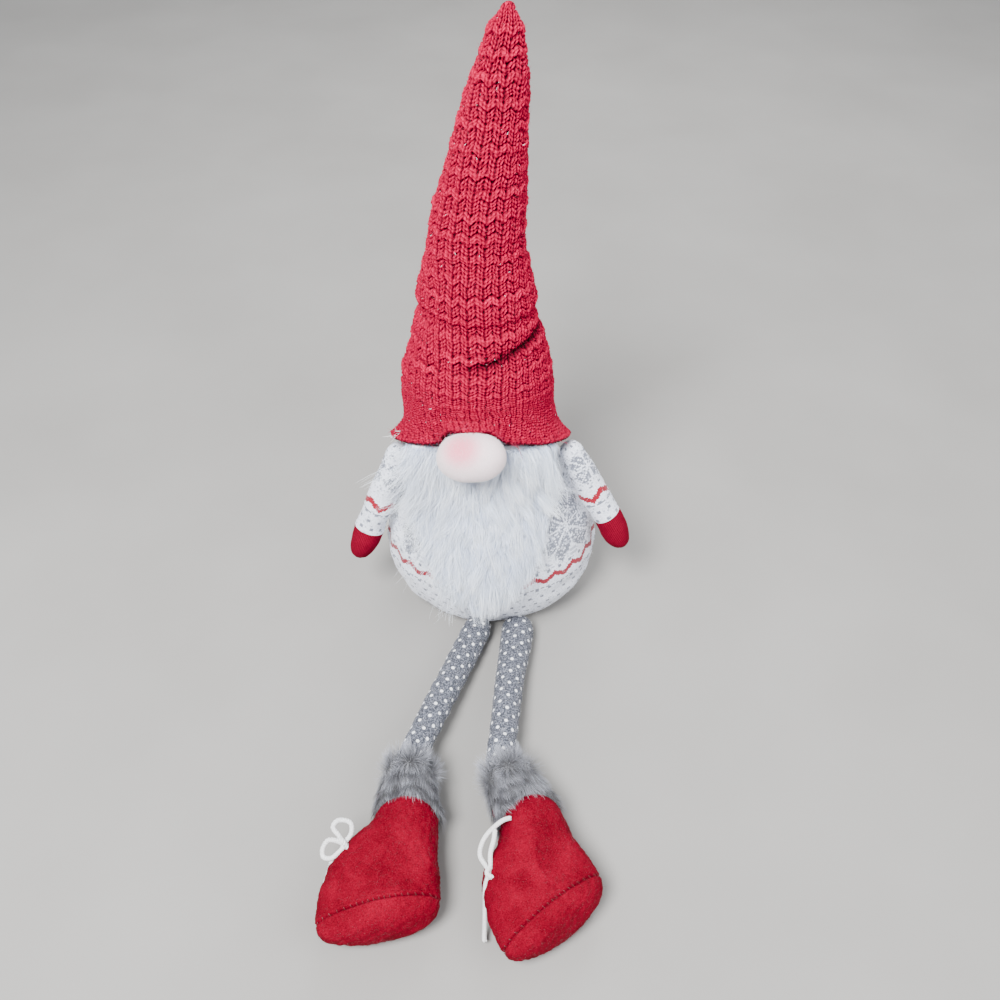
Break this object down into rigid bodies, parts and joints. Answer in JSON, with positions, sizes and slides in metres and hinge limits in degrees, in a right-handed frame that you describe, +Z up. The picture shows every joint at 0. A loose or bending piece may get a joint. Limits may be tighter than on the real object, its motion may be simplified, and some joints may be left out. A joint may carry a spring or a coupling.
{
  "type": "tomte gnome figurine",
  "caption": "Seated stuffed tomte gnome with a tall knitted hat, round nose, long fur beard, mittened arms, dotted legs and felt boots with fur cuffs.",
  "frame": {"origin": "middle of the flat seat, on the surface the gnome sits on", "axes": "+Z up, the gnome faces -Y with its legs stretched forward, +X is the gnome's own left"},
  "size_m": [0.2071, 0.3717, 0.4208],
  "materials": {
    "hat_knit": "chunky waffle knit, matt",
    "body_knit": "fine jacquard knit, pale with grey and red yarn, matt",
    "mitten_knit": "fine knit, matt",
    "leg_knit": "grey melange jersey with white dots, matt",
    "felt": "fuzzy felt, matt",
    "nose_jersey": "brushed jersey, matt",
    "beard_fur": "long-pile faux fur, soft sheen",
    "cuff_fur": "short faux fur, dark base and pale tips",
    "cord": "braided cotton, matt",
    "stuffing": "polyester fibre, matt",
    "backing_cloth": "woven, matt",
    "ballast": "woven bag of granules, matt"
  },
  "bodies": {
    "torso": {"body_cover": "body_knit", "base_panel": "body_knit", "body_filling": "stuffing", "weight_bag": "ballast", "hat_lower_cover": "hat_knit", "hat_lower_filling": "stuffing", "nose_cover": "nose_jersey", "nose_filling": "stuffing", "beard_backing": "backing_cloth", "beard_pile": "beard_fur"},
    "hat_top": {"hat_upper_cover": "hat_knit", "hat_upper_filling": "stuffing"},
    "right_arm": {"right_sleeve": "body_knit", "right_mitten": "mitten_knit", "right_arm_filling": "stuffing"},
    "right_leg": {"right_leg_cover": "leg_knit", "right_leg_filling": "stuffing"},
    "right_boot": {"right_boot_outer_panel": "felt", "right_boot_inner_panel": "felt", "right_boot_sole": "felt", "right_boot_filling": "stuffing", "right_fur_cuff": "cuff_fur", "right_lace": "cord"},
    "left_arm": {"left_sleeve": "body_knit", "left_mitten": "mitten_knit", "left_arm_filling": "stuffing"},
    "left_leg": {"left_leg_cover": "leg_knit", "left_leg_filling": "stuffing"},
    "left_boot": {"left_boot_outer_panel": "felt", "left_boot_inner_panel": "felt", "left_boot_sole": "felt", "left_boot_filling": "stuffing", "left_fur_cuff": "cuff_fur", "left_lace": "cord"}
  },
  "joints": [
    {"name": "hat_bend", "type": "hinge", "parent": "torso", "child": "hat_top", "pos_m": [-0.008, 0.023, 0.222], "axis": [0, 1, 0], "range_deg": [-20, 20], "stiffness_Nm_per_rad": 0.6},
    {"name": "right_shoulder", "type": "hinge", "parent": "torso", "child": "right_arm", "pos_m": [-0.064, 0.001, 0.139], "axis": [0, 1, 0], "range_deg": [0, 60]},
    {"name": "left_shoulder", "type": "hinge", "parent": "torso", "child": "left_arm", "pos_m": [0.056, 0.001, 0.141], "axis": [0, -1, 0], "range_deg": [0, 55]},
    {"name": "right_hip", "type": "hinge", "parent": "torso", "child": "right_leg", "pos_m": [-0.0135, -0.063, 0.0115], "axis": [0, 0, -1], "range_deg": [-2, 35]},
    {"name": "left_hip", "type": "hinge", "parent": "torso", "child": "left_leg", "pos_m": [0.0176, -0.063, 0.0115], "axis": [0, 0, 1], "range_deg": [-2, 40]},
    {"name": "right_ankle", "type": "hinge", "parent": "right_leg", "child": "right_boot", "pos_m": [-0.0525, -0.17, 0.0222], "axis": [-0.0175, 0.9998, 0], "range_deg": [0, 90]},
    {"name": "left_ankle", "type": "hinge", "parent": "left_leg", "child": "left_boot", "pos_m": [0.0065, -0.174, 0.0222], "axis": [-0.4226, 0.9063, 0], "range_deg": [0, 90]}
  ]
}
